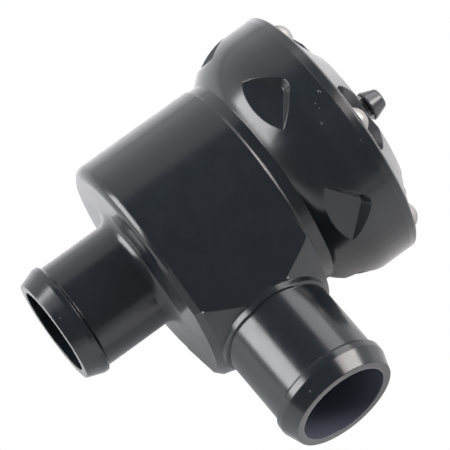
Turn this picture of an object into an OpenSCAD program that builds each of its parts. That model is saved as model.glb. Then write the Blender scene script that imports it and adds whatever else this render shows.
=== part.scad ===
// Blow off valve with two beaded hose tubes, a flared head and a screwed lid.
// Millimetres. Origin at the centre of the inlet mouth, Z up the main axis, X along the outlet.

/* [Hose tubes] */
// Outside diameter of both tubes
tube_d = 25; // [24:0.1:26]
// Bore of the inlet tube
inlet_bore_d = 20; // [19:0.1:21]
// Bore of the outlet tube
outlet_bore_d = 20.4; // [19:0.1:21]
// Height of the bead crest over the tube
bead_rise = 0.8; // [0.4:0.1:1.2]
// Amount the mouth is smaller in radius than the tube
mouth_drop = 0.5; // [0.2:0.1:0.8]
// Length of the bead taper
bead_taper = 3.7; // [3:0.1:4.5]
// Length of the inlet's bead crest
inlet_crest = 1.1; // [0.8:0.1:1.6]
// Length of the outlet's bead crest
outlet_crest = 1.6; // [0.8:0.1:2]
// Length of the slope behind the bead
bead_back = 0.6; // [0.4:0.1:1]
// Distance from the main axis to the outlet mouth
outlet_reach = 53.1; // [48:0.1:58]
// Height of the outlet axis
outlet_z = 37.3; // [36.5:0.1:38]

/* [Body] */
// Height of the body's lower end face
end_z = 22.9; // [21:0.1:23.4]
// Diameter of the body cylinder
body_d = 50.4; // [49:0.1:52]
// Rounding of the body's lower edge
body_round = 2.4; // [1:0.1:3]
// Fillet between the end face and the inlet tube
inlet_fillet = 2.6; // [1:0.1:3.5]
// Wall of the body round its chamber
body_wall = 4.7; // [4:0.1:5.2]
// Thickness of the chamber floor
floor_t = 3.1; // [2.5:0.1:3.3]
// Height where the relief groove starts
groove_z = 52.5; // [52:0.1:53]
// Height of the relief groove
groove_h = 2.8; // [2:0.1:3.2]
// Depth of the relief groove
groove_depth = 0.35; // [0.2:0.05:0.5]
// Angle round the body where the boss's flat sides leave it
boss_angle = 60; // [56:1:64]
// Depth of the boss's flat sides below the body's surface where they leave it
boss_inset = 0.1; // [0.05:0.01:0.2]
// Amount the boss stands out from the body at its middle
boss_rise = 5.6; // [5:0.1:6.2]
// Amount the boss stands out from the body at its upper and lower edge
boss_edge_rise = 3.3; // [2.8:0.1:3.8]
// Height of each sloping face of the boss
boss_slope_h = 8.3; // [7:0.1:9.5]
// Chamfer at the boss's lower edge
boss_chamfer = 1.5; // [1.3:0.1:1.8]
// Drop of the boss's top below the groove
boss_drop = 1; // [0.6:0.1:1.5]
// Height of the collar round the outlet tube above the boss
collar_h = 1.3; // [0.8:0.1:1.8]
// Radial size of the collar over the tube
collar_rise = 0.6; // [0.3:0.05:0.8]

/* [Head] */
// Diameter of the head
head_d = 59.8; // [59:0.1:62]
// Height where the flare runs into the head cylinder
flare_top_z = 66.5; // [65:0.1:68]
// Height of the joint between head and lid
head_top_z = 71.8; // [71:0.1:73]
// Drop of a scallop's tip below the joint
scallop_drop = 6.3; // [5.5:0.1:7]
// Depth of a scallop at its tip
scallop_depth = 1.9; // [1.6:0.05:2.2]
// Radius of a scallop's floor at its tip
scallop_tip_r = 1; // [0.6:0.1:1.6]
// Half of the angle between a scallop's walls
scallop_half_angle = 52; // [46:1:56]
// Slope of a scallop's walls
scallop_slope = 44; // [35:1:50]
// Tilt of a scallop's floor
scallop_tilt = 7; // [5:0.5:9]

/* [Lid] */
// Thickness of the lid's flange
flange_t = 2.2; // [1.8:0.1:3]
// Chamfer on the flange's edge
flange_chamfer = 0.35; // [0.2:0.05:0.6]
// Radius of the flat top
plateau_r = 20; // [19:0.1:21]
// Height of the flat top above the flange
cone_h = 4.5; // [4:0.1:5.5]
// Radius of the lid's cavity
cavity_r = 16.5; // [15.5:0.1:17]
// Thickness of the lid's roof
roof_t = 2.5; // [2:0.1:3]
// Outside radius of the guide sleeve
sleeve_r = 5.5; // [5:0.1:5.8]
// Drop of the sleeve's lower end below the plunger's top
sleeve_drop = 11; // [9:0.5:13]
// Length of the bush in the sleeve
bush_len = 12; // [8:0.5:15]
// Wall of the bush in the sleeve
bush_wall = 1; // [0.8:0.1:1.2]
// Number of lid screws and scallops
screw_count = 6; // [6:1:6]
// Distance from the head's edge to the screws
screw_inset = 3.5; // [3.2:0.1:3.7]
// Radius of the pockets round the screws
pocket_r = 8; // [7:0.1:8.2]
// Height of the pocket floors above the flange
pocket_rise = 0.15; // [0.1:0.05:0.4]
// Radius of the lid screws' thread
screw_r = 1.5; // [1.25:0.05:1.6]
// Radius of the lid screws' heads
screw_head_r = 3; // [2.6:0.05:3.1]
// Height of the lid screws' heads
screw_head_h = 1.8; // [1.5:0.05:2]
// Length of the lid screws
screw_len = 8; // [6:0.5:9]

/* [Nipple] */
// Greatest radius of the barb
barb_r = 3.4; // [3:0.1:4]
// Radius at the nipple's tip
tip_r = 2.3; // [2:0.1:2.7]
// Radius of the neck
neck_r = 2.2; // [2:0.1:2.6]
// Radius of the nipple's bore
nipple_bore_r = 1.2; // [0.8:0.1:1.4]
// Radius of the nipple's thread
nipple_thread_r = 2.5; // [2.3:0.1:2.7]
// Height of the barb's lower edge above the lid
barb_z = 4.7; // [4:0.1:6]
// Length of the barb's edge
barb_land = 0.6; // [0.4:0.1:1]
// Length of the barb
barb_h = 3.9; // [3:0.1:5]
// Width across the flats of the hexagon
nipple_hex_af = 8; // [7:0.5:9]
// Height of the hexagon
nipple_hex_h = 1.8; // [1.4:0.1:2.2]
// Thickness of the nipple's washer
nipple_washer_t = 0.8; // [0.5:0.1:1]

/* [Valve] */
// Lift of the plunger
lift = 8; // [6:0.5:8]
// Height of the seat lip above the chamber floor
seat_h = 1.4; // [1:0.1:2]
// Width of the seat lip
seat_w = 1.3; // [1:0.1:1.6]
// Outside radius of the plunger wall
plunger_r = 11.4; // [11.1:0.1:12]
// Radius of the plunger's bore
plunger_bore_r = 9.5; // [9.2:0.1:9.8]
// Radius of the plunger's top flange
plunger_flange_r = 13; // [12.9:0.1:13.5]
// Height of the plunger's top face
plunger_top_z = 61; // [60:0.1:61.5]
// Thickness of the diaphragm
diaphragm_t = 1; // [0.8:0.1:1.2]
// Thickness of the clamping ring
plate_t = 2; // [1.5:0.1:2.4]
// Radius of the guide stem
stem_r = 3; // [2.6:0.1:3.2]
// Radius of the stem's lower thread
stem_thread_r = 2; // [1.75:0.05:2.2]
// Radius of the spring's wire
wire_r = 0.8; // [0.6:0.05:0.9]
// Mean radius of the spring
spring_r = 7.6; // [7.4:0.05:7.8]
// Number of turns of the spring
spring_turns = 9; // [7:1:10]

/* [Clearances] */
// Radial room of a screw in its tapped hole
thread_room = 0.05; // [0.02:0.01:0.1]
// Radial room of a screw in a through hole
hole_room = 0.2; // [0.1:0.05:0.3]
// Radial room of the stem in its bush
stem_room = 0.05; // [0.02:0.01:0.1]
// Radial room of the bush in the sleeve
bush_room = 0.02; // [0.01:0.01:0.03]
// Radial room of the stem above its bush
bore_room = 0.4; // [0.3:0.05:0.5]
// Room between the seal and the seat
seat_room = 0.05; // [0.03:0.01:0.1]
// Radial room of the diaphragm's rim in its recess
rim_room = 0.1; // [0.05:0.05:0.3]

/* [Hidden] */
$fn = 96;
eps = 0.01;
tube_r = tube_d / 2;
mouth_r = tube_r - mouth_drop;
bead_r = tube_r + bead_rise;
inlet_bore_r = inlet_bore_d / 2;
outlet_bore_r = outlet_bore_d / 2;
throat_z = end_z - 2.9;
throat_r = inlet_bore_r - 0.5;
body_r = body_d / 2;
groove_r = body_r - groove_depth;
groove_top_z = groove_z + groove_h;
head_r = head_d / 2;
screw_circle_r = head_r - screw_inset;
boss_top_z = groove_z - boss_drop;
boss_r = body_r + boss_rise;
boss_edge_r = body_r + boss_edge_rise;
boss_flat_r = body_r - boss_inset;
flare_h = flare_top_z - groove_top_z;
flare_rise = head_r - groove_r;
flare_r = (flare_h * flare_h + flare_rise * flare_rise) / (2 * flare_rise);
chamber_r = body_r - body_wall;
chamber_z = end_z + floor_t;
seat_z = chamber_z + seat_h;
rim_r = screw_circle_r - screw_r - 0.9;
rim_z = head_top_z - diaphragm_t;
flange_z = head_top_z + flange_t;
plateau_z = flange_z + cone_h;
pocket_z = flange_z + pocket_rise;
roof_z = plateau_z - roof_t;
step_angle = 360 / screw_count;
seal_z = seat_z + seat_room;
seal_t = 2;
seal_r = throat_r + 2.4;
retainer_t = 1.2;
retainer_z = seal_z - retainer_t;
retainer_r = throat_r - 2;
nut_h = 3.2;
nut_af = 7;
base_z = seal_z + seal_t;
base_h = 6;
base_top_z = base_z + base_h;
sleeve_z = plunger_top_z - sleeve_drop;
base_disc_h = 2.2;
flange_h = 3.2;
stem_top_z = plunger_top_z + 3.5;
stem_end_z = retainer_z - nut_h - 0.4;
spring_seat_t = 0.8;
spring_z = base_top_z + spring_seat_t;
plate_z = plunger_top_z + diaphragm_t;
plate_hole_r = plunger_bore_r + 0.2;
plate_screw_r = 1;
plate_head_r = 1.6;
plate_head_h = 1.6;
plate_circle_r = (plunger_bore_r + plunger_flange_r) / 2 + 0.1;
nipple_seat_z = plateau_z + nipple_washer_t;
barb_low_z = plateau_z + barb_z;
thread_low_z = roof_z - 1.5;
vent_r = 0.9;
vent_z = thread_low_z - vent_r - 0.1;
bush_inner_r = stem_r + stem_room;
bush_outer_r = bush_inner_r + bush_wall;

// Places its children round the axis at the lid screws' angles.
module round_screws(angle = 0) {
    for (i = [0 : screw_count - 1])
        rotate([0, 0, angle + i * step_angle])
            children();
}

// Turns its children so that their Z axis lies along the outlet.
module along_outlet() {
    translate([0, 0, outlet_z])
        rotate([0, 90, 0])
            children();
}

// Outline of a tube with a hose bead at its foot.
module tube_outline(length, crest) {
    polygon([
        [0, 0],
        [mouth_r, 0],
        [bead_r, bead_taper],
        [bead_r, bead_taper + crest],
        [tube_r, bead_taper + crest + bead_back],
        [tube_r, length],
        [0, length]
    ]);
}

// Concave fillet between the inlet tube and the end face.
module inlet_fillet_outline() {
    difference() {
        translate([tube_r - eps, end_z - inlet_fillet])
            square([inlet_fillet + eps, inlet_fillet + eps]);
        translate([tube_r + inlet_fillet, end_z - inlet_fillet])
            circle(r = inlet_fillet);
    }
}

// Body cylinder with its rounded lower edge.
module barrel_outline() {
    translate([0, end_z])
        square([body_r - body_round, groove_z - end_z]);
    translate([0, end_z + body_round])
        square([body_r, groove_z - end_z - body_round]);
    translate([body_r - body_round, end_z + body_round])
        circle(r = body_round);
}

// Relief groove, convex flare and head cylinder.
module head_outline() {
    polygon([
        [0, groove_z - eps],
        [body_r, groove_z - eps],
        [body_r, groove_z],
        [groove_r, groove_z + groove_depth],
        [groove_r, groove_top_z + eps],
        [0, groove_top_z + eps]
    ]);
    translate([0, groove_top_z])
        square([head_r - flare_r, head_top_z - groove_top_z]);
    intersection() {
        translate([head_r - flare_r, flare_top_z])
            circle(r = flare_r, $fn = 192);
        translate([0, groove_top_z])
            square([head_r + 1, flare_h + eps]);
    }
    translate([0, flare_top_z])
        square([head_r, head_top_z - flare_top_z]);
}

module body_turning() {
    rotate_extrude() {
        tube_outline(end_z + eps, inlet_crest);
        inlet_fillet_outline();
        barrel_outline();
        head_outline();
    }
}

// Half section of the turned band that the boss is left from, grown outwards.
module boss_outline(grow = 0) {
    fall = boss_chamfer * (boss_rise - boss_edge_rise) / boss_slope_h;
    low_z = end_z + boss_chamfer;
    polygon([
        [chamber_r, end_z],
        [boss_edge_r + grow - (grow > 0 ? fall : boss_chamfer), end_z],
        [boss_edge_r + grow, low_z],
        [boss_r + grow, low_z + boss_slope_h],
        [boss_r + grow, boss_top_z - boss_slope_h],
        [boss_edge_r + grow, boss_top_z],
        [chamber_r, boss_top_z]
    ]);
}

// Boss with flat sides that leave the body almost smoothly, and the turned band's sloping faces.
module boss() {
    foot_x = boss_flat_r * cos(boss_angle);
    foot_y = boss_flat_r * sin(boss_angle);
    cut = boss_chamfer * sqrt(2);
    difference() {
        intersection() {
            rotate_extrude($fn = 192)
                boss_outline();
            linear_extrude(height = head_top_z)
                polygon([[0, 0], [foot_x, -foot_y], [boss_flat_r / cos(boss_angle), 0], [foot_x, foot_y]]);
        }
        for (side = [-1, 1])
            rotate([0, 0, side * boss_angle])
                translate([boss_flat_r, 0, end_z])
                    rotate([0, 45, 0])
                        cube([cut, 2 * boss_r, cut], center = true);
    }
}

// Outlet tube and the low collar that follows the boss.
module outlet_tube() {
    along_outlet()
        translate([0, 0, outlet_reach])
            mirror([0, 0, 1])
                rotate_extrude()
                    tube_outline(outlet_reach - chamber_r, outlet_crest);
    intersection() {
        along_outlet()
            translate([0, 0, chamber_r])
                cylinder(r = tube_r + collar_rise, h = outlet_reach);
        rotate_extrude($fn = 192)
            boss_outline(collar_h);
    }
}

// Corner of a scallop's cutter: just inside its round tip, or where its wall leaves the head.
function scallop_corner(tip_r, down, side, z) =
    let (a = scallop_half_angle, x = down > 0 ? down : -tip_r * sin(a))
    [x, side * (tip_r * cos(a) + (x + tip_r * sin(a)) * tan(a)), z];

// Cutter with a flat floor, a round tip at the top and sloping walls that spread downwards.
module scallop_cutter() {
    reach = 5;
    down = 8;
    inside = 0.06;
    wide_r = scallop_tip_r + reach * tan(scallop_slope);
    levels = [[scallop_tip_r - inside, 0], [wide_r - inside, reach]];
    corners = [[0, 1], [down, 1], [down, -1], [0, -1]];
    cylinder(r1 = scallop_tip_r, r2 = wide_r, h = reach);
    polyhedron(
        [
            for (level = levels, corner = corners)
                scallop_corner(level[0], corner[0], corner[1], level[1])
        ],
        [[3, 2, 1, 0], [4, 5, 6, 7], [0, 1, 5, 4], [1, 2, 6, 5], [2, 3, 7, 6], [3, 0, 4, 7]]
    );
}

// Cut in the flare whose tilted floor runs out at the bottom.
module scallop() {
    translate([head_r - scallop_depth, 0, head_top_z - scallop_drop - scallop_tip_r])
        rotate([0, 90 + scallop_tilt, 0])
            scallop_cutter();
}

// Inlet bore, throat, chamber and the recess for the diaphragm's rim.
module body_hollow() {
    translate([0, 0, -eps])
        cylinder(r = inlet_bore_r, h = throat_z + eps);
    cylinder(r = throat_r, h = seat_z + 1);
    difference() {
        translate([0, 0, chamber_z])
            cylinder(r = chamber_r, h = head_top_z - chamber_z + 1, $fn = 128);
        cylinder(r = throat_r + seat_w, h = seat_z);
    }
    translate([0, 0, rim_z])
        cylinder(r = rim_r + rim_room, h = diaphragm_t + 1, $fn = 128);
    along_outlet()
        translate([0, 0, chamber_r / 2])
            cylinder(r = outlet_bore_r, h = outlet_reach);
}

module valve_body() {
    color([0.03, 0.03, 0.035])
        difference() {
            union() {
                body_turning();
                boss();
                outlet_tube();
            }
            body_hollow();
            round_screws(step_angle / 2)
                scallop();
            round_screws()
                translate([screw_circle_r, 0, pocket_z - screw_len - 1])
                    cylinder(r = screw_r + thread_room, h = screw_len, $fn = 32);
        }
}

// Half section of the lid's outside.
module lid_outline() {
    polygon([
        [0, head_top_z],
        [head_r, head_top_z],
        [head_r, flange_z - flange_chamfer],
        [head_r - flange_chamfer, flange_z],
        [plateau_r, plateau_z],
        [0, plateau_z]
    ]);
}

module top_cap() {
    color([0.03, 0.03, 0.035])
        difference() {
            union() {
                difference() {
                    rotate_extrude($fn = 128)
                        lid_outline();
                    translate([0, 0, head_top_z - 1])
                        cylinder(r = cavity_r, h = roof_z - head_top_z + 1);
                }
                translate([0, 0, sleeve_z])
                    cylinder(r = sleeve_r, h = roof_z - sleeve_z + eps);
            }
            translate([0, 0, sleeve_z - 1])
                cylinder(r = bush_outer_r + bush_room, h = bush_len + 1);
            translate([0, 0, sleeve_z])
                cylinder(r = stem_r + bore_room, h = thread_low_z - sleeve_z);
            translate([0, 0, thread_low_z - eps])
                cylinder(r = nipple_thread_r + thread_room, h = plateau_z);
            translate([-sleeve_r - 1, 0, vent_z])
                rotate([0, 90, 0])
                    cylinder(r = vent_r, h = sleeve_r + 1, $fn = 24);
            round_screws()
                translate([screw_circle_r, 0, 0]) {
                    translate([0, 0, pocket_z])
                        cylinder(r = pocket_r, h = cone_h + 1);
                    translate([0, 0, head_top_z - 1])
                        cylinder(r = screw_r + hole_room, h = flange_t + 2, $fn = 32);
                }
        }
}

// Domed head of a lid screw, flat on top with a hexagon socket.
module screw_head() {
    dome_r = (pow(screw_head_r, 2) + pow(screw_head_h * 1.15, 2)) / (2.3 * screw_head_h);
    difference() {
        intersection() {
            cylinder(r = screw_head_r, h = screw_head_h, $fn = 48);
            translate([0, 0, 1.15 * screw_head_h - dome_r])
                sphere(r = dome_r, $fn = 64);
        }
        translate([0, 0, screw_head_h - 1])
            cylinder(r = 1.15, h = 2, $fn = 6);
    }
}

module cap_screws() {
    color([0.75, 0.74, 0.72])
        round_screws()
            translate([screw_circle_r, 0, pocket_z]) {
                screw_head();
                translate([0, 0, -screw_len])
                    cylinder(r = screw_r, h = screw_len + 0.2, $fn = 32);
            }
}

// Half section of the nipple above its hexagon.
module barb_outline() {
    polygon([
        [0, nipple_seat_z],
        [neck_r, nipple_seat_z],
        [neck_r, barb_low_z],
        [barb_r - 0.2, barb_low_z],
        [barb_r, barb_low_z + 0.2],
        [barb_r, barb_low_z + barb_land],
        [tip_r, barb_low_z + barb_h - 0.25],
        [tip_r - 0.25, barb_low_z + barb_h],
        [0, barb_low_z + barb_h]
    ]);
}

module vacuum_nipple() {
    color([0.04, 0.04, 0.045])
        difference() {
            union() {
                rotate_extrude($fn = 64)
                    barb_outline();
                translate([0, 0, nipple_seat_z])
                    cylinder(r = nipple_hex_af / sqrt(3), h = nipple_hex_h, $fn = 6);
                translate([0, 0, thread_low_z + 0.1])
                    cylinder(r = nipple_thread_r, h = nipple_seat_z - thread_low_z, $fn = 48);
            }
            translate([0, 0, thread_low_z])
                cylinder(r = nipple_bore_r, h = barb_low_z + barb_h, $fn = 32);
        }
}

module nipple_washer() {
    color([0.6, 0.38, 0.2])
        difference() {
            translate([0, 0, plateau_z])
                cylinder(r = nipple_hex_af / 2 - 0.1, h = nipple_washer_t, $fn = 48);
            translate([0, 0, plateau_z - 1])
                cylinder(r = nipple_thread_r + hole_room, h = nipple_washer_t + 2, $fn = 48);
        }
}

// Places its children at the clamping ring's screws.
module round_plate() {
    for (i = [0 : screw_count - 1])
        rotate([0, 0, i * step_angle])
            translate([plate_circle_r, 0, 0])
                children();
}

// Dished membrane from the clamped rim down to the plunger.
module diaphragm() {
    wall = 0.8 * diaphragm_t;
    high_r = chamber_r - 0.6;
    low_r = plunger_flange_r + 0.9;
    color([0.06, 0.06, 0.06])
        difference() {
            rotate_extrude()
                polygon([
                    [plate_hole_r, plunger_top_z],
                    [low_r, plunger_top_z],
                    [high_r, rim_z],
                    [rim_r, rim_z],
                    [rim_r, head_top_z],
                    [high_r - wall, head_top_z],
                    [low_r - wall, plate_z],
                    [plate_hole_r, plate_z]
                ]);
            round_plate()
                translate([0, 0, plunger_top_z - 1])
                    cylinder(r = plate_screw_r + hole_room, h = diaphragm_t + 2, $fn = 24);
        }
}

module diaphragm_plate() {
    color([0.7, 0.7, 0.72])
        difference() {
            translate([0, 0, plate_z])
                cylinder(r = plunger_flange_r, h = plate_t);
            translate([0, 0, plate_z - 1])
                cylinder(r = plate_hole_r, h = plate_t + 2);
            round_plate()
                translate([0, 0, plate_z - 1])
                    cylinder(r = plate_screw_r + hole_room, h = plate_t + 2, $fn = 24);
        }
}

module plate_screws() {
    shank = plate_t + diaphragm_t + flange_h - 0.6;
    color([0.75, 0.74, 0.72])
        round_plate()
            translate([0, 0, plate_z + plate_t]) {
                cylinder(r = plate_head_r, h = plate_head_h, $fn = 32);
                translate([0, 0, -shank])
                    cylinder(r = plate_screw_r, h = shank + eps, $fn = 24);
            }
}

// Half section of the plunger.
module plunger_outline() {
    polygon([
        [stem_thread_r + thread_room, base_z],
        [seal_r + 0.4, base_z],
        [seal_r + 0.4, base_z + base_disc_h],
        [plunger_r, base_z + base_disc_h],
        [plunger_r, plunger_top_z - flange_h],
        [plunger_flange_r, plunger_top_z - flange_h],
        [plunger_flange_r, plunger_top_z],
        [plunger_bore_r, plunger_top_z],
        [plunger_bore_r, base_top_z],
        [stem_thread_r + thread_room, base_top_z]
    ]);
}

module valve_plunger() {
    color([0.62, 0.63, 0.65])
        difference() {
            rotate_extrude()
                plunger_outline();
            round_plate()
                translate([0, 0, plunger_top_z - flange_h - 1])
                    cylinder(r = plate_screw_r + thread_room, h = flange_h + 2, $fn = 24);
        }
}

module ring(outer, inner, height, z) {
    difference() {
        translate([0, 0, z])
            cylinder(r = outer, h = height);
        translate([0, 0, z - 1])
            cylinder(r = inner, h = height + 2, $fn = 48);
    }
}

module plunger_seal() {
    color([0.08, 0.08, 0.08])
        ring(seal_r, stem_thread_r + hole_room, seal_t, seal_z);
}

module seal_retainer() {
    color([0.7, 0.7, 0.72])
        ring(retainer_r, stem_thread_r + hole_room, retainer_t, retainer_z);
}

module seal_nut() {
    color([0.75, 0.74, 0.72])
        difference() {
            translate([0, 0, retainer_z - nut_h])
                cylinder(r = nut_af / sqrt(3), h = nut_h, $fn = 6);
            translate([0, 0, retainer_z - nut_h - 1])
                cylinder(r = stem_thread_r + thread_room, h = nut_h + 2, $fn = 48);
        }
}

module guide_stem() {
    color([0.72, 0.72, 0.74]) {
        translate([0, 0, base_top_z])
            cylinder(r = stem_r, h = stem_top_z - base_top_z);
        translate([0, 0, stem_end_z])
            cylinder(r = stem_thread_r, h = base_top_z - stem_end_z + eps, $fn = 48);
    }
}

module guide_bush() {
    color([0.55, 0.4, 0.2])
        ring(bush_outer_r, bush_inner_r, bush_len, sleeve_z);
}

module spring_seat() {
    color([0.7, 0.7, 0.72])
        ring(plunger_bore_r - 0.3, spring_r - wire_r - 0.8, spring_seat_t, base_top_z);
}

// Height of the spring's centre line, with closed turns at both ends.
function coil_z(t) =
    let (low = spring_z + wire_r, high = roof_z - wire_r, pitch = 2.05 * wire_r, n = spring_turns)
    t < 1 ? low + pitch * t
    : t > n - 1 ? high - pitch * (n - t)
    : low + pitch + (high - low - 2 * pitch) * (t - 1) / (n - 2);

// Coil swept as rings of points round the centre line.
module return_spring() {
    sides = 8;
    per_turn = 24;
    count = spring_turns * per_turn;
    points = [
        for (i = [0 : count], j = [0 : sides - 1])
            let (a = 360 * i / per_turn, b = 360 * j / sides, r = spring_r + wire_r * cos(b))
            [r * cos(a), r * sin(a), coil_z(i / per_turn) + wire_r * sin(b)]
    ];
    skin = [
        for (i = [0 : count - 1], j = [0 : sides - 1])
            let (k = (j + 1) % sides)
            [i * sides + j, i * sides + k, (i + 1) * sides + k, (i + 1) * sides + j]
    ];
    foot = [[for (j = [sides - 1 : -1 : 0]) j]];
    head = [[for (j = [0 : sides - 1]) count * sides + j]];
    color([0.6, 0.6, 0.62])
        polyhedron(points, concat(skin, foot, head), convexity = 10);
}

valve_body();
top_cap();
cap_screws();
vacuum_nipple();
nipple_washer();
diaphragm();
diaphragm_plate();
plate_screws();
valve_plunger();
plunger_seal();
seal_retainer();
seal_nut();
guide_stem();
guide_bush();
return_spring();
spring_seat();
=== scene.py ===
"""Looks of the blow off valve: materials, soft pieces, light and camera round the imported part."""
import math

import bpy
from mathutils import Matrix, Vector


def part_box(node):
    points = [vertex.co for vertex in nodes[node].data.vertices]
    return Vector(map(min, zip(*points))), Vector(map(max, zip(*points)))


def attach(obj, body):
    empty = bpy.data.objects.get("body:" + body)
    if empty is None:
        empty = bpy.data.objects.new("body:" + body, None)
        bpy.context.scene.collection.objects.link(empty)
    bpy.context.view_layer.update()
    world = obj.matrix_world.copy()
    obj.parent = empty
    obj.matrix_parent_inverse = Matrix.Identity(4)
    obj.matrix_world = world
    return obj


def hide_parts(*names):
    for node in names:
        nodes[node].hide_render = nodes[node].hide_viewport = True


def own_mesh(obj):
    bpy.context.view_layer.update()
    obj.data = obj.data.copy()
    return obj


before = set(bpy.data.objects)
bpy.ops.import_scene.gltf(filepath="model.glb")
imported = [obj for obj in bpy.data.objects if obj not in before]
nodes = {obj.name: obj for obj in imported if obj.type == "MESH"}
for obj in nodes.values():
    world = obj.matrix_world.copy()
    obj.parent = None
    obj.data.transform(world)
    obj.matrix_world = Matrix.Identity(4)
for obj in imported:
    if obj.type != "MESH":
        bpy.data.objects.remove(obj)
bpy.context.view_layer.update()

MM = 0.001
FULL_TURN = 2 * math.pi
WHITE = (1.0, 1.0, 1.0)

# Camera fitted to the photograph: its axes and place in the part's frame, and its focal length.
CAMERA_RIGHT = (0.581875, 0.147203, 0.799845)
CAMERA_DOWN = (0.674487, 0.462164, -0.575736)
CAMERA_AHEAD = (-0.45441, 0.874491, 0.169636)
CAMERA_PLACE = (0.323917, -0.617247, -0.076822)
CAMERA_NEAR = 0.01
CAMERA_FAR = 20.0
FOCAL_PX = 3310.62
PICTURE_PX = 450
SENSOR_MM = 36.0

# Room: white walls that grow greyer towards a dark opening round the camera, and a dark corner low down.
# A middle is a direction from the part, and each cosine is measured from it.
ROOM_WHITE = 1.45
ROOM_NEAR = 1.05
ROOM_DARK = 0.3
WALL_TINT = (1.0, 0.99, 0.98)
DARK_TINT = (0.94, 1.0, 1.08)
WALL_FAR_COS = -0.6
OPENING_MIDDLE = (0.342, -0.94, 0.0)
OPENING_INNER_COS = 0.60
OPENING_OUTER_COS = 0.44
CORNER_MIDDLE = (0.33, -0.50, -0.80)
CORNER_INNER_COS = 0.93
CORNER_OUTER_COS = 0.72

# Soft lamps round the part: name, direction, length, width, brightness of the face, tint.
PART_MIDDLE = Vector((0.008, 0.0, 0.045))
LAMP_DISTANCE = 0.75
LAMP_TINT = (0.99, 0.99, 1.02)
WARM_TINT = (1.0, 0.91, 0.89)
LAMPS = [
    ("lamp_low", (-0.454, -0.498, -0.738), 0.55, 0.46, 10.0, LAMP_TINT),
    ("lamp_high", (-0.15, -0.576, 0.764), 1.10, 0.46, 3.0, LAMP_TINT),
    ("lamp_end", (0.19, -0.64, 0.745), 0.26, 0.55, 9.5, WARM_TINT),
]

# Table under the part as it lies in the photograph.
TABLE_NORMAL = (-0.11, -0.985, 0.113)
TABLE_ROOM = 0.8 * MM
TABLE_HALF = 3.0
TABLE_GLOW = 0.12
TABLE_PAPER = (0.70, 0.70, 0.70)
TABLE_ROUGH = 0.9

# Sizes read from the frame. The lid's rim is what lies within a small depth of its widest circle.
SEAM_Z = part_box("valve_body")[1].z
RIM_DEPTH = 0.3 * MM
RIM_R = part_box("top_cap")[1].x - RIM_DEPTH

# Sizes of the part's source that the frame does not give. Bores and pockets reach a little past their walls.
OUTLET_Z = 37.3 * MM
OUTLET_BORE_R = 10.35 * MM
CHAMBER_R = 20.7 * MM
CHAMBER_Z = 25.5 * MM
GROOVE_Z = 52.5 * MM
BOSS_TOP_Z = 51.5 * MM
POCKET_R = 8.03 * MM
POCKET_CIRCLE_R = 26.4 * MM
POCKET_COUNT = 6

# Edges are worn where the bevelled normal leaves the flat one, apart from two that stay sharp.
BEVEL_SAMPLES = 6
EDGE_FROM_COS = 0.995
EDGE_TO_COS = 0.90
SHARP_SHARE = 0.05
SHARP_NEAR = 0.4 * MM
SHARP_FAR = 0.6 * MM

# A noise's values lie mostly between the first two, and its detail is one of the rest.
NOISE_LOW = 0.3
NOISE_HIGH = 0.7
PLAIN_DETAIL = 1.0
LOW_DETAIL = 2.0
MORE_DETAIL = 3.0
HIGH_DETAIL = 4.0

# Black anodised finish: colours, with painted light and painted highlights among them, slow clouds in the
# colour, chips along edges and loose specks of dust.
BLACK = (0.0052, 0.0076, 0.0097)
NIPPLE_GREY = (0.028, 0.028, 0.031)
# Painted light: the insides of the outlet and the chamber are painted this lighter grey.
BORE_PAINTED_LIGHT = (0.076, 0.081, 0.106)
# Painted light: the lid's screw pockets are painted this lighter grey.
POCKET_PAINTED_LIGHT = (0.042, 0.042, 0.046)
# Grey of worn chips along edges, and of the painted highlight along the groove.
WORN_AND_HIGHLIGHT_GREY = (0.42, 0.42, 0.43)
# Grey of loose dust, and of the painted glints at the boss's corners.
DUST_AND_GLINT_GREY = (0.6, 0.6, 0.6)
ANODISED_IOR = 1.5
CLOUD_SCALE = 160.0
CLOUD_DARKER = 0.85
CLOUD_LIGHTER = 1.25
CHIP_SCALE = 900.0
CHIP_NOISE_ROUGH = 0.7
CHIP_FROM = 0.66
CHIP_TO = 0.74
SPECK_SCALE = 260.0
SPECK_OUTER = 0.075
SPECK_INNER = 0.045
PATCH_SCALE = 70.0
PATCH_FROM = 0.64
PATCH_TO = 0.72
RIM_LEAN = 0.12
ANODISED_ROUGH_SCALE = 320.0
ANODISED_SMOOTHER = 0.85
ANODISED_ROUGHER = 1.2
ANODISED_GRAIN = {"scale": 2600.0, "strength": 0.05, "depth": 0.02 * MM}

# Finish of each black piece. The body and the lid add places of their own.
BLACKS = {
    "body_black": {
        "base": BLACK, "rough": 0.19, "edge_radius": 0.35 * MM, "wear": 0.5, "dust": 0.08, "on_body": True,
    },
    "lid_black": {
        "base": BLACK, "rough": 0.2, "edge_radius": 0.3 * MM, "wear": 0.25, "dust": 0.1, "on_lid": True,
    },
    "nipple_black": {
        "base": NIPPLE_GREY, "rough": 0.2, "edge_radius": 0.3 * MM, "wear": 0.4, "dust": 0.0,
    },
}

# Painted highlight along the body's upper edge beside the groove, brightest round one place.
HIGHLIGHT_HEIGHT = 0.4 * MM
HIGHLIGHT_SOFT = 0.1 * MM
HIGHLIGHT_SCALE = 240.0
HIGHLIGHT_LEAST = 0.25
HIGHLIGHT_MOST = 0.6
BRIGHTEST_PLACE = (9.5 * MM, -23.0 * MM, 52.7 * MM)
BRIGHTEST_NEAR = 4.5 * MM
BRIGHTEST_FAR = 9.5 * MM
BRIGHTEST_FAR_SHARE = 0.12
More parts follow.
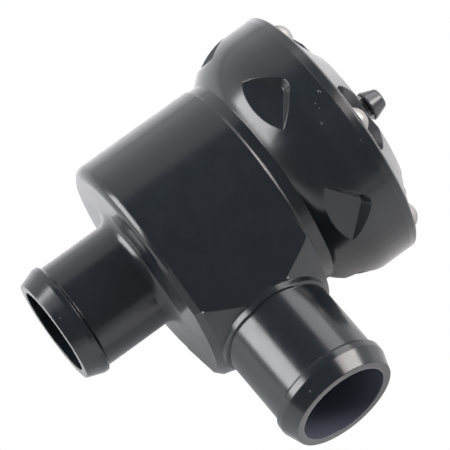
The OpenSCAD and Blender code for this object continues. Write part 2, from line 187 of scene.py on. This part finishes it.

# Dust on the head and the beads, and painted glints at the corners of the boss: place and radius in mm,
# strength.
DUST_AND_GLINT_SPOTS = [
    ((5.83, -29.32, 70.47), 0.30, 0.16),
    ((6.22, -29.24, 70.81), 0.22, 0.16),
    ((7.48, -28.94, 68.32), 0.22, 0.09),
    ((8.80, -28.57, 68.36), 0.25, 0.09),
    ((11.47, -27.60, 66.86), 0.28, 0.13),
    ((4.36, -11.71, 1.44), 0.22, 0.2),
    ((51.22, -11.30, 31.62), 0.28, 0.16),
    # The last two are painted glints at the corners of the boss.
    ((24.34, -14.90, 24.55), 0.30, 0.8),
    ((28.15, -12.50, 43.25), 0.30, 0.6),
]
SPOT_CORE = 0.4
RAGGED_SCALE = 3200.0
RAGGED_LEAST = 0.55
RAGGED_MOST = 1.7

# Plain metals: colour, roughness and edge radius.
METALS = {
    "stainless": ((0.34, 0.33, 0.32), 0.48, 0.2 * MM),
    "washer_copper": ((0.72, 0.40, 0.22), 0.35, 0.2 * MM),
    "plain_aluminium": ((0.70, 0.71, 0.72), 0.32, 0.2 * MM),
    "plain_steel": ((0.58, 0.57, 0.56), 0.3, 0.2 * MM),
    "bush_bronze": ((0.62, 0.42, 0.2), 0.35, 0.2 * MM),
    "spring_steel": ((0.42, 0.42, 0.43), 0.3, 0.1 * MM),
}
METAL_CLOUD_SCALE = 420.0
METAL_DARKER = 0.86
METAL_BRIGHTER = 1.15
METAL_EDGE_WEAR = 0.6
METAL_ROUGH_SCALE = 700.0
METAL_SMOOTHER = 0.8
METAL_ROUGHER = 1.25
METAL_GRAIN = {"scale": 2200.0, "strength": 0.1, "depth": 0.03 * MM}

# Rubbers: colour and roughness.
RUBBERS = {
    "diaphragm_rubber": ((0.02, 0.02, 0.02), 0.6),
    "seal_rubber": ((0.018, 0.018, 0.018), 0.55),
}
RUBBER_EDGE_R = 0.2 * MM
RUBBER_CLOUD_SCALE = 500.0
RUBBER_DARKER = 0.7
RUBBER_PALER = 2.0
RUBBER_EDGE_WEAR = 0.4
RUBBER_ROUGH_SCALE = 900.0
RUBBER_ROUGH_SPREAD = 0.08
RUBBER_GRAIN = {"scale": 3000.0, "strength": 0.3, "depth": 0.05 * MM}

# Spring: its wire, the room that it leaves to the CAD spring's box, and the rise of its closed end turns.
WIRE_R = 0.79 * MM
WIRE_ROOM = 0.01 * MM
WIRE_SIDES = 14
SPRING_END_ROOM = 0.05 * MM
SPRING_TURNS = 9
SPRING_STEPS = 48
CLOSED_PITCH = 2.05 * WIRE_R

# Membrane: its thickness and hole in mm, and the room that it leaves to the CAD membrane's rim.
MEMBRANE_T = 1.0
MEMBRANE_HOLE_R = 9.7
MEMBRANE_ROOM = 0.02 * MM
MEMBRANE_STEPS = 96

# Look of each CAD node that shows as it is.
LOOKS = {
    "valve_body": "body_black",
    "top_cap": "lid_black",
    "cap_screws": "stainless",
    "vacuum_nipple": "nipple_black",
    "nipple_washer": "washer_copper",
    "diaphragm_plate": "plain_aluminium",
    "plate_screws": "stainless",
    "valve_plunger": "plain_aluminium",
    "plunger_seal": "seal_rubber",
    "seal_retainer": "plain_steel",
    "seal_nut": "plain_steel",
    "guide_stem": "plain_steel",
    "guide_bush": "bush_bronze",
    "spring_seat": "plain_steel",
}


class Nodes:
    """Small helper that adds shader nodes to a tree and feeds their sockets."""

    def __init__(self, tree):
        self.tree = tree
        tree.nodes.clear()

    def add(self, kind, **values):
        node = self.tree.nodes.new(kind)
        for key, value in values.items():
            setattr(node, key, value)
        return node

    def feed(self, socket, value):
        """Give a socket another node's output, or a constant."""
        if isinstance(value, bpy.types.NodeSocket):
            self.tree.links.new(value, socket)
        elif socket.type == "RGBA":
            socket.default_value = (*value, 1.0)
        else:
            socket.default_value = value

    def math(self, operation, *values):
        node = self.add("ShaderNodeMath", operation=operation)
        for socket, value in zip(node.inputs, values):
            self.feed(socket, value)
        return node.outputs[0]

    def fold(self, operation, values):
        """One value from several, taken two at a time."""
        total, *others = values
        for value in others:
            total = self.math(operation, total, value)
        return total

    def vector(self, operation, *values):
        node = self.add("ShaderNodeVectorMath", operation=operation)
        for socket, value in zip(node.inputs, values):
            self.feed(socket, value)
        gives_number = operation in ("DOT_PRODUCT", "DISTANCE")
        return node.outputs["Value" if gives_number else "Vector"]

    def split(self, place):
        node = self.add("ShaderNodeSeparateXYZ")
        self.feed(node.inputs[0], place)
        return node.outputs

    def noise(self, place, scale, detail=LOW_DETAIL, rough=0.5):
        node = self.add("ShaderNodeTexNoise")
        self.feed(node.inputs["Vector"], place)
        self.feed(node.inputs["Scale"], scale)
        self.feed(node.inputs["Detail"], detail)
        self.feed(node.inputs["Roughness"], rough)
        return node.outputs["Fac"]

    def ramp(self, value, low, high, out_low=0.0, out_high=1.0, kind="LINEAR"):
        node = self.add("ShaderNodeMapRange", interpolation_type=kind, clamp=True)
        self.feed(node.inputs["Value"], value)
        self.feed(node.inputs["From Min"], low)
        self.feed(node.inputs["From Max"], high)
        self.feed(node.inputs["To Min"], out_low)
        self.feed(node.inputs["To Max"], out_high)
        return node.outputs["Result"]

    def uneven(self, place, scale, detail, least, most):
        """Noise spread over a range."""
        return self.ramp(self.noise(place, scale, detail), NOISE_LOW, NOISE_HIGH, least, most)

    def mix(self, factor, first, second):
        node = self.add("ShaderNodeMix", data_type="RGBA")
        self.feed(node.inputs[0], factor)
        self.feed(node.inputs[6], first)
        self.feed(node.inputs[7], second)
        return node.outputs[2]

    def mix_shader(self, factor, first, second):
        node = self.add("ShaderNodeMixShader")
        for socket, value in zip(node.inputs, (factor, first, second)):
            self.feed(socket, value)
        return node.outputs[0]

    def seen_by_camera(self):
        return self.add("ShaderNodeLightPath").outputs["Is Camera Ray"]


def scaled(colour, factor):
    """Colour times a factor, at most white."""
    return tuple(min(1.0, factor * part) for part in colour)


def new_material(name):
    material = bpy.data.materials.new(name)
    material.use_nodes = True
    return material, Nodes(material.node_tree)


def new_surface(name):
    """Material with one principled shader, and the place on the part that its patterns follow."""
    material, n = new_material(name)
    shader = n.add("ShaderNodeBsdfPrincipled")
    n.feed(n.add("ShaderNodeOutputMaterial").inputs["Surface"], shader.outputs[0])
    place = n.add("ShaderNodeTexCoord").outputs["Object"]
    return material, n, shader, place


def grain(n, shader, place, normal, scale, strength, depth):
    """Fine tool marks or grain on top of a normal."""
    bump = n.add("ShaderNodeBump")
    n.feed(bump.inputs["Strength"], strength)
    n.feed(bump.inputs["Distance"], depth)
    n.feed(bump.inputs["Height"], n.noise(place, scale))
    n.feed(bump.inputs["Normal"], normal)
    n.feed(shader.inputs["Normal"], bump.outputs["Normal"])


def edge_mask(n, radius):
    """Bevelled normal, and a mask that is high along edges."""
    bevel = n.add("ShaderNodeBevel", samples=BEVEL_SAMPLES)
    n.feed(bevel.inputs["Radius"], radius)
    bevelled = bevel.outputs["Normal"]
    flat = n.add("ShaderNodeNewGeometry").outputs["Normal"]
    return bevelled, n.ramp(n.vector("DOT_PRODUCT", bevelled, flat), EDGE_FROM_COS, EDGE_TO_COS)


def body_edge_radius(n, place, radius):
    """Edge radius of the body, almost nothing at the lid's seam and at the boss's top."""
    z = n.split(place)[2]
    from_seam = n.math("SUBTRACT", SEAM_Z, z)
    from_boss = n.math("ABSOLUTE", n.math("SUBTRACT", z, BOSS_TOP_Z))
    nearest = n.math("MINIMUM", from_seam, from_boss)
    return n.ramp(nearest, SHARP_NEAR, SHARP_FAR, SHARP_SHARE * radius, radius)


def axis_distance(n, parts, middle=(0.0, 0.0)):
    """Distance from an axis through a middle point, given the two coordinates across it."""
    squares = []
    for part, centre in zip(parts, middle):
        offset = n.math("SUBTRACT", part, centre)
        squares.append(n.math("MULTIPLY", offset, offset))
    return n.math("SQRT", n.math("ADD", *squares))


def bore_painted_light_mask(n, place):
    """High on the inside of the outlet and of the chamber, which are painted a lighter grey as painted light.
    """
    x, y, z = n.split(place)
    in_bore = n.math("LESS_THAN", axis_distance(n, (y, z), (0.0, OUTLET_Z)), OUTLET_BORE_R)
    outlet = n.math("MULTIPLY", in_bore, n.math("GREATER_THAN", x, 0.0))
    in_wall = n.math("LESS_THAN", axis_distance(n, (x, y)), CHAMBER_R)
    chamber = n.math("MULTIPLY", in_wall, n.math("GREATER_THAN", z, CHAMBER_Z))
    return n.math("MAXIMUM", outlet, chamber)


def groove_painted_highlight(n, place):
    """Uneven painted highlight along the body's upper edge beside the groove, fading away from its brightest
    place.
    """
    x, y, z = n.split(place)
    above = n.ramp(z, GROOVE_Z - HIGHLIGHT_SOFT, GROOVE_Z)
    below = n.ramp(z, GROOVE_Z + HIGHLIGHT_HEIGHT, GROOVE_Z + HIGHLIGHT_HEIGHT - HIGHLIGHT_SOFT)
    outside = n.math("GREATER_THAN", axis_distance(n, (x, y)), CHAMBER_R)
    uneven = n.uneven(place, HIGHLIGHT_SCALE, MORE_DETAIL, HIGHLIGHT_LEAST, HIGHLIGHT_MOST)
    away = n.vector("DISTANCE", place, BRIGHTEST_PLACE)
    fading = n.ramp(away, BRIGHTEST_NEAR, BRIGHTEST_FAR, 1.0, BRIGHTEST_FAR_SHARE)
    return n.fold("MULTIPLY", (above, below, outside, uneven, fading))


def dust_and_glint_mask(n, place):
    """Ragged specks of dust, and painted glints at the corners of the boss, at the places that are listed."""
    ragged = n.uneven(place, RAGGED_SCALE, LOW_DETAIL, RAGGED_LEAST, RAGGED_MOST)
    specks = []
    for centre, radius, strength in DUST_AND_GLINT_SPOTS:
        away = n.vector("DISTANCE", place, Vector(centre) * MM)
        reach = n.math("MULTIPLY", away, ragged)
        specks.append(n.ramp(reach, radius * MM, SPOT_CORE * radius * MM, 0.0, strength))
    return n.fold("MAXIMUM", specks)


def loose_dust(n, place):
    """Small round specks, only in a few patches."""
    cells = n.add("ShaderNodeTexVoronoi")
    n.feed(cells.inputs["Scale"], SPECK_SCALE)
    n.feed(cells.inputs["Vector"], place)
    specks = n.ramp(cells.outputs["Distance"], SPECK_OUTER, SPECK_INNER)
    patches = n.ramp(n.noise(place, PATCH_SCALE, PLAIN_DETAIL), PATCH_FROM, PATCH_TO)
    return n.math("MULTIPLY", specks, patches)


def pocket_painted_light_mask(n, place):
    """High on the milled walls and floors of the lid's screw pockets, which are painted a lighter grey as
    painted light.
    """
    x, y = n.split(place)[:2]
    distances = []
    for i in range(POCKET_COUNT):
        turn = FULL_TURN * i / POCKET_COUNT
        middle = (POCKET_CIRCLE_R * math.cos(turn), POCKET_CIRCLE_R * math.sin(turn))
        distances.append(axis_distance(n, (x, y), middle))
    inside = n.math("LESS_THAN", n.fold("MINIMUM", distances), POCKET_R)
    off_rim = n.math("LESS_THAN", axis_distance(n, (x, y)), RIM_R)
    return n.math("MULTIPLY", inside, off_rim)


def leaning_rim(n, place, normal):
    """Normal of the lid's outer rim, leaning slightly upwards as on a rim dressed by hand."""
    x, y = n.split(place)[:2]
    on_rim = n.math("GREATER_THAN", axis_distance(n, (x, y)), RIM_R)
    lean = n.add("ShaderNodeCombineXYZ")
    n.feed(lean.inputs["Z"], n.math("MULTIPLY", on_rim, RIM_LEAN))
    return n.vector("NORMALIZE", n.vector("ADD", normal, lean.outputs[0]))


def black_anodised(name, base, rough, edge_radius, wear, dust, on_body=False, on_lid=False):
    """Gloss black anodised aluminium with fine tool marks, worn edges and a few specks of dust.

    The body adds bores painted lighter as painted light, a painted highlight along the groove, and placed
    dust and painted glints. The lid adds its rim and pockets painted lighter as painted light.
    """
    material, n, shader, place = new_surface(name)
    radius = body_edge_radius(n, place, edge_radius) if on_body else edge_radius
    normal, edges = edge_mask(n, radius)
    cloud = n.noise(place, CLOUD_SCALE, MORE_DETAIL)
    colour = n.mix(cloud, scaled(base, CLOUD_DARKER), scaled(base, CLOUD_LIGHTER))
    specks = n.math("MULTIPLY", loose_dust(n, place), dust)
    if on_body:
        # Painted light in the bores: a lighter grey.
        colour = n.mix(bore_painted_light_mask(n, place), colour, BORE_PAINTED_LIGHT)
        # Painted highlight along the groove's upper edge.
        colour = n.mix(groove_painted_highlight(n, place), colour, WORN_AND_HIGHLIGHT_GREY)
        # Placed dust, and painted glints at the boss's corners.
        specks = n.math("MAXIMUM", specks, dust_and_glint_mask(n, place))
    if on_lid:
        normal = leaning_rim(n, place, normal)
        # Painted light in the lid's pockets: a lighter grey.
        colour = n.mix(pocket_painted_light_mask(n, place), colour, POCKET_PAINTED_LIGHT)
    chips = n.ramp(n.noise(place, CHIP_SCALE, MORE_DETAIL, CHIP_NOISE_ROUGH), CHIP_FROM, CHIP_TO)
    colour = n.mix(n.fold("MULTIPLY", (edges, chips, wear)), colour, WORN_AND_HIGHLIGHT_GREY)
    n.feed(shader.inputs["Base Color"], n.mix(specks, colour, DUST_AND_GLINT_GREY))
    least, most = ANODISED_SMOOTHER * rough, ANODISED_ROUGHER * rough
    n.feed(shader.inputs["Roughness"], n.uneven(place, ANODISED_ROUGH_SCALE, HIGH_DETAIL, least, most))
    n.feed(shader.inputs["IOR"], ANODISED_IOR)
    grain(n, shader, place, normal, **ANODISED_GRAIN)
    return material


def bare_metal(name, base, rough, edge_radius):
    """Plain metal with tool marks and slightly brighter edges."""
    material, n, shader, place = new_surface(name)
    normal, edges = edge_mask(n, edge_radius)
    colour = n.mix(n.noise(place, METAL_CLOUD_SCALE, HIGH_DETAIL), scaled(base, METAL_DARKER), base)
    worn = n.math("MULTIPLY", edges, METAL_EDGE_WEAR)
    n.feed(shader.inputs["Base Color"], n.mix(worn, colour, scaled(base, METAL_BRIGHTER)))
    n.feed(shader.inputs["Metallic"], 1.0)
    least, most = METAL_SMOOTHER * rough, METAL_ROUGHER * rough
    n.feed(shader.inputs["Roughness"], n.uneven(place, METAL_ROUGH_SCALE, MORE_DETAIL, least, most))
    grain(n, shader, place, normal, **METAL_GRAIN)
    return material


def rubber(name, base, rough):
    """Matt black rubber with a fine grain."""
    material, n, shader, place = new_surface(name)
    normal, edges = edge_mask(n, RUBBER_EDGE_R)
    colour = n.mix(n.noise(place, RUBBER_CLOUD_SCALE, HIGH_DETAIL), scaled(base, RUBBER_DARKER), base)
    worn = n.math("MULTIPLY", edges, RUBBER_EDGE_WEAR)
    n.feed(shader.inputs["Base Color"], n.mix(worn, colour, scaled(base, RUBBER_PALER)))
    least, most = rough - RUBBER_ROUGH_SPREAD, rough + RUBBER_ROUGH_SPREAD
    n.feed(shader.inputs["Roughness"], n.uneven(place, RUBBER_ROUGH_SCALE, MORE_DETAIL, least, most))
    grain(n, shader, place, normal, **RUBBER_GRAIN)
    return material


def paint(obj, material):
    obj.data.materials.clear()
    obj.data.materials.append(material)


def add_object(name, data):
    obj = bpy.data.objects.new(name, data)
    bpy.context.scene.collection.objects.link(obj)
    return obj


def set_axes(obj, place, x_axis, y_axis, z_axis):
    """Put an object at a place, with its own axes along the given directions."""
    turn = Matrix((x_axis, y_axis, z_axis)).transposed()
    obj.matrix_world = Matrix.Translation(place) @ turn.to_4x4()


def mesh_piece(name, points, faces):
    mesh = bpy.data.meshes.new(name)
    mesh.from_pydata(points, [], faces)
    mesh.validate()
    mesh.update()
    for polygon in mesh.polygons:
        polygon.use_smooth = True
    return add_object(name, mesh)


def soft_piece(piece, foot, top, node, look):
    """Let a piece stand for a CAD node: it takes the look, goes with the housing, and the node is hidden."""
    paint(piece, materials[look])
    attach(piece, "housing")
    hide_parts(node)
    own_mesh(piece)


def coil_height(turns, low, high):
    """Height of the wire's centre line after some turns, with a closed turn at each end."""
    if turns < 1:
        return low + CLOSED_PITCH * turns
    if turns > SPRING_TURNS - 1:
        return high - CLOSED_PITCH * (SPRING_TURNS - turns)
    return low + CLOSED_PITCH + (high - low - 2 * CLOSED_PITCH) * (turns - 1) / (SPRING_TURNS - 2)


def coil_spring():
    """Round wire coil in the CAD spring's box, with its foot and the height that it is held at."""
    box_low, box_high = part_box("return_spring")
    foot, top = box_low.z + SPRING_END_ROOM, box_high.z - SPRING_END_ROOM
    coil_r = box_high.x - WIRE_ROOM - WIRE_R
    count = SPRING_TURNS * SPRING_STEPS
    points, faces = [], []
    for i in range(count + 1):
        turn = FULL_TURN * i / SPRING_STEPS
        height = coil_height(i / SPRING_STEPS, foot + WIRE_R, top - WIRE_R)
        for j in range(WIRE_SIDES):
            angle = FULL_TURN * j / WIRE_SIDES
            r = coil_r + WIRE_R * math.cos(angle)
            points.append((r * math.cos(turn), r * math.sin(turn), height + WIRE_R * math.sin(angle)))
    for i in range(count):
        here, ahead = i * WIRE_SIDES, (i + 1) * WIRE_SIDES
        for j in range(WIRE_SIDES):
            k = (j + 1) % WIRE_SIDES
            faces.append((here + j, here + k, ahead + k, ahead + j))
    faces.append(tuple(reversed(range(WIRE_SIDES))))
    faces.append(tuple(count * WIRE_SIDES + j for j in range(WIRE_SIDES)))
    return mesh_piece("spring_coil", points, faces), foot, box_high.z


def membrane():
    """Rolled rubber membrane with the CAD node's rim and inner ring, with its foot and its held height."""
    box_low, box_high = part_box("diaphragm")
    rim = (box_high.x - MEMBRANE_ROOM) / MM
    tall = (box_high.z - box_low.z) / MM
    # Half section in mm, radius and height over the foot: out along the lower face and back along the upper.
    lower = [
        (MEMBRANE_HOLE_R, 0.0), (13.2, 0.0), (13.9, 0.25), (14.6, 1.0),
        (19.3, tall - 1.8), (19.9, tall - MEMBRANE_T), (rim, tall - MEMBRANE_T),
    ]
    upper = [
        (rim, tall), (19.3, tall), (18.5, tall - 0.6), (18.0, tall - 1.6),
        (13.6, 1.7), (13.0, MEMBRANE_T), (MEMBRANE_HOLE_R, MEMBRANE_T),
    ]
    section = lower + upper
    count = len(section)
    points, faces = [], []
    for i in range(MEMBRANE_STEPS):
        turn = FULL_TURN * i / MEMBRANE_STEPS
        for r, z in section:
            points.append((r * MM * math.cos(turn), r * MM * math.sin(turn), box_low.z + z * MM))
    for i in range(MEMBRANE_STEPS):
        here, ahead = i * count, (i + 1) % MEMBRANE_STEPS * count
        for j in range(count):
            k = (j + 1) % count
            faces.append((here + j, ahead + j, ahead + k, here + k))
    return mesh_piece("membrane", points, faces), box_low.z, box_high.z


def table_white():
    """White to the camera, pale paper with a little glow to all other light, and clear from below."""
    material, n = new_material("table_white")
    white = n.add("ShaderNodeEmission")
    n.feed(white.inputs["Strength"], 1.0)
    paper = n.add("ShaderNodeBsdfPrincipled")
    n.feed(paper.inputs["Base Color"], TABLE_PAPER)
    n.feed(paper.inputs["Roughness"], TABLE_ROUGH)
    n.feed(paper.inputs["Emission Color"], WHITE)
    n.feed(paper.inputs["Emission Strength"], TABLE_GLOW)
    upper = n.mix_shader(n.seen_by_camera(), paper.outputs[0], white.outputs[0])
    from_below = n.add("ShaderNodeNewGeometry").outputs["Backfacing"]
    clear = n.add("ShaderNodeBsdfTransparent")
    surface = n.mix_shader(from_below, upper, clear.outputs[0])
    n.feed(n.add("ShaderNodeOutputMaterial").inputs["Surface"], surface)
    return material


def table_plane():
    """Table that the part lies on, facing the camera."""
    up = Vector(TABLE_NORMAL).normalized()
    lowest = min(up.dot(vertex.co) for node in nodes.values() for vertex in node.data.vertices)
    centre = PART_MIDDLE - up * (up.dot(PART_MIDDLE) - lowest + TABLE_ROOM)
    across = up.cross(Vector((0.0, 0.0, 1.0))).normalized()
    along = across.cross(up)
    corners = []
    for x, y in ((-1, -1), (-1, 1), (1, 1), (1, -1)):
        corners.append(centre + (across * x + along * y) * TABLE_HALF)
    table = mesh_piece("table", corners, [(0, 1, 2, 3)])
    paint(table, table_white())


def room_light():
    """Light of the room. The camera sees plain white instead."""
    world = bpy.data.worlds.new("room")
    bpy.context.scene.world = world
    world.use_nodes = True
    n = Nodes(world.node_tree)
    direction = n.add("ShaderNodeTexCoord").outputs["Generated"]
    to_opening = n.vector("DOT_PRODUCT", direction, OPENING_MIDDLE)
    to_corner = n.vector("DOT_PRODUCT", direction, CORNER_MIDDLE)
    opening_edge = (OPENING_OUTER_COS, OPENING_INNER_COS)
    wall = n.ramp(to_opening, WALL_FAR_COS, OPENING_OUTER_COS, ROOM_WHITE, ROOM_NEAR)
    opening = n.ramp(to_opening, *opening_edge, wall, ROOM_DARK, kind="SMOOTHSTEP")
    corner = n.ramp(to_corner, CORNER_OUTER_COS, CORNER_INNER_COS, ROOM_WHITE, ROOM_DARK)
    light = n.add("ShaderNodeBackground")
    n.feed(light.inputs["Strength"], n.math("MINIMUM", opening, corner))
    n.feed(light.inputs["Color"], n.mix(n.ramp(to_opening, *opening_edge), WALL_TINT, DARK_TINT))
    seen = n.add("ShaderNodeBackground")
    n.feed(seen.inputs["Color"], WHITE)
    n.feed(seen.inputs["Strength"], 1.0)
    surface = n.mix_shader(n.seen_by_camera(), light.outputs[0], seen.outputs[0])
    n.feed(n.add("ShaderNodeOutputWorld").inputs["Surface"], surface)


def lamp(name, direction, length, width, radiance, tint):
    """Soft lamp in a direction from the part, its length along the outlet, its face of a given brightness."""
    data = bpy.data.lights.new(name, "AREA")
    data.shape = "RECTANGLE"
    data.size = length
    data.size_y = width
    data.energy = radiance * math.pi * length * width
    data.color = tint
    towards = Vector(direction).normalized()
    along = (Vector((1.0, 0.0, 0.0)) - towards * towards.x).normalized()
    place = PART_MIDDLE + towards * LAMP_DISTANCE
    set_axes(add_object(name, data), place, along, towards.cross(along), towards)


def photo_camera():
    """Camera at the photograph's place and angle."""
    data = bpy.data.cameras.new("camera")
    data.sensor_width = SENSOR_MM
    data.lens = FOCAL_PX * SENSOR_MM / PICTURE_PX
    data.clip_start = CAMERA_NEAR
    data.clip_end = CAMERA_FAR
    camera = add_object("camera", data)
    set_axes(camera, CAMERA_PLACE, Vector(CAMERA_RIGHT), -Vector(CAMERA_DOWN), -Vector(CAMERA_AHEAD))
    bpy.context.scene.camera = camera


materials = {name: black_anodised(name, **values) for name, values in BLACKS.items()}
materials.update({name: bare_metal(name, *values) for name, values in METALS.items()})
materials.update({name: rubber(name, *values) for name, values in RUBBERS.items()})
for node_name, look in LOOKS.items():
    paint(nodes[node_name], materials[look])
soft_piece(*coil_spring(), "return_spring", "spring_steel")
soft_piece(*membrane(), "diaphragm", "diaphragm_rubber")

table_plane()
room_light()
for lamp_values in LAMPS:
    lamp(*lamp_values)
photo_camera()
bpy.context.scene.view_settings.view_transform = "Standard"
